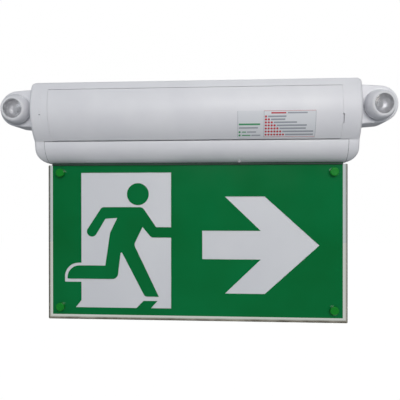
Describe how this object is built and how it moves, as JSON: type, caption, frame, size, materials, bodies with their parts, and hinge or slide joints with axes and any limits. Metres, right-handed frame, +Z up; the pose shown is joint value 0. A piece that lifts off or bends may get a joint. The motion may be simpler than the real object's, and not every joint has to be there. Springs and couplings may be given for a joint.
{
  "type": "emergency exit light",
  "caption": "Wall-mounted emergency exit light: barrel-shaped housing with a hinged cover, a hanging edge-lit running-figure sign and a swivelling ball lamp on each end.",
  "frame": {"origin": "centre of the wall-screw pattern on the back face of the housing, level with the axis of the barrel and of both lamps", "axes": "+X along the housing to the viewer's right, +Y into the wall, +Z up; the front faces -Y"},
  "size_m": [0.3978, 0.0575, 0.2401],
  "materials": {
    "housing_white": "satin",
    "bezel_white": "satin",
    "clear_sheet": "polished",
    "clear_lens": "polished",
    "legend_white": "satin",
    "legend_green": "satin",
    "cap_green": "polished",
    "nut_white": "satin",
    "rail_aluminium": "satin",
    "board_white": "satin",
    "board_green": "satin",
    "led_yellow": "satin",
    "screw_steel": "satin",
    "mirror_metal": "polished",
    "switch_black": "satin",
    "washer_nylon": "satin",
    "grommet_rubber": "matte",
    "battery_sleeve": "satin",
    "core_steel": "satin",
    "relay_black": "satin",
    "can_aluminium": "satin",
    "fuse_glass": "polished",
    "block_grey": "satin",
    "screw_brass": "satin"
  },
  "bodies": {
    "housing": {"base_tray": "housing_white", "cover_hinge_pin": "screw_steel", "light_bar": "housing_white", "light_guide": "clear_sheet", "legend_plate": "legend_white", "green_legend": "legend_green", "reflector_sheet": "legend_white", "panel_studs": "cap_green", "stud_nuts": "nut_white", "light_rail": "rail_aluminium", "led_strip_board": "board_white", "strip_leds": "led_yellow", "rail_screws": "screw_steel", "bar_screws": "screw_steel", "arm_screws": "screw_steel", "board_screws": "screw_steel", "clip_screws": "screw_steel", "test_switch_board": "board_green", "test_switch": "switch_black", "cable_grommet": "grommet_rubber", "battery_pack": "battery_sleeve", "battery_clips": "rail_aluminium", "driver_board": "board_green", "transformer": "core_steel", "relay": "relay_black", "capacitors": "can_aluminium", "fuse_link": "fuse_glass", "terminal_block": "block_grey", "terminal_screws": "screw_brass", "left_lamp_arm": "housing_white", "left_arm_back": "housing_white", "left_lamp_stud": "screw_steel", "left_lamp_spring": "screw_steel", "right_lamp_arm": "housing_white", "right_arm_back": "housing_white", "right_lamp_stud": "screw_steel", "right_lamp_spring": "screw_steel"},
    "cover": {"front_cover": "housing_white"},
    "button": {"test_button": "bezel_white"},
    "left_lamp_washer": {"left_lamp_saddle": "washer_nylon"},
    "left_lamp_head": {"left_lamp_ball": "housing_white", "left_lamp_bezel": "bezel_white", "left_lamp_lens": "clear_lens", "left_lamp_reflector": "mirror_metal", "left_lamp_led_board": "board_white"},
    "right_lamp_washer": {"right_lamp_saddle": "washer_nylon"},
    "right_lamp_head": {"right_lamp_ball": "housing_white", "right_lamp_bezel": "bezel_white", "right_lamp_lens": "clear_lens", "right_lamp_reflector": "mirror_metal", "right_lamp_led_board": "board_white"}
  },
  "joints": [
    {"name": "cover_hinge", "type": "hinge", "parent": "housing", "child": "cover", "pos_m": [-0.15, -0.05, 0], "axis": [0, 0, -1], "range_deg": [0, 90]},
    {"name": "test_button_press", "type": "slide", "parent": "housing", "child": "button", "axis": [0, 0, 1], "range_m": [0, 0.0008], "stiffness_N_per_m": 1000, "springref_m": -0.0006},
    {"name": "left_lamp_pan", "type": "hinge", "parent": "housing", "child": "left_lamp_washer", "pos_m": [-0.1795, -0.044, 0.0006], "axis": [0, 0, 1], "range_deg": [-20, 20]},
    {"name": "left_lamp_tilt", "type": "hinge", "parent": "left_lamp_washer", "child": "left_lamp_head", "pos_m": [-0.1795, -0.044, 0.0006], "axis": [-1, 0, 0], "range_deg": [-16, 24]},
    {"name": "right_lamp_pan", "type": "hinge", "parent": "housing", "child": "right_lamp_washer", "pos_m": [0.1795, -0.044, 0.0006], "axis": [0, 0, 1], "range_deg": [-32, 8]},
    {"name": "right_lamp_tilt", "type": "hinge", "parent": "right_lamp_washer", "child": "right_lamp_head", "pos_m": [0.1795, -0.044, 0.0006], "axis": [-0.9781, -0.2079, 0], "range_deg": [-16, 24]}
  ]
}
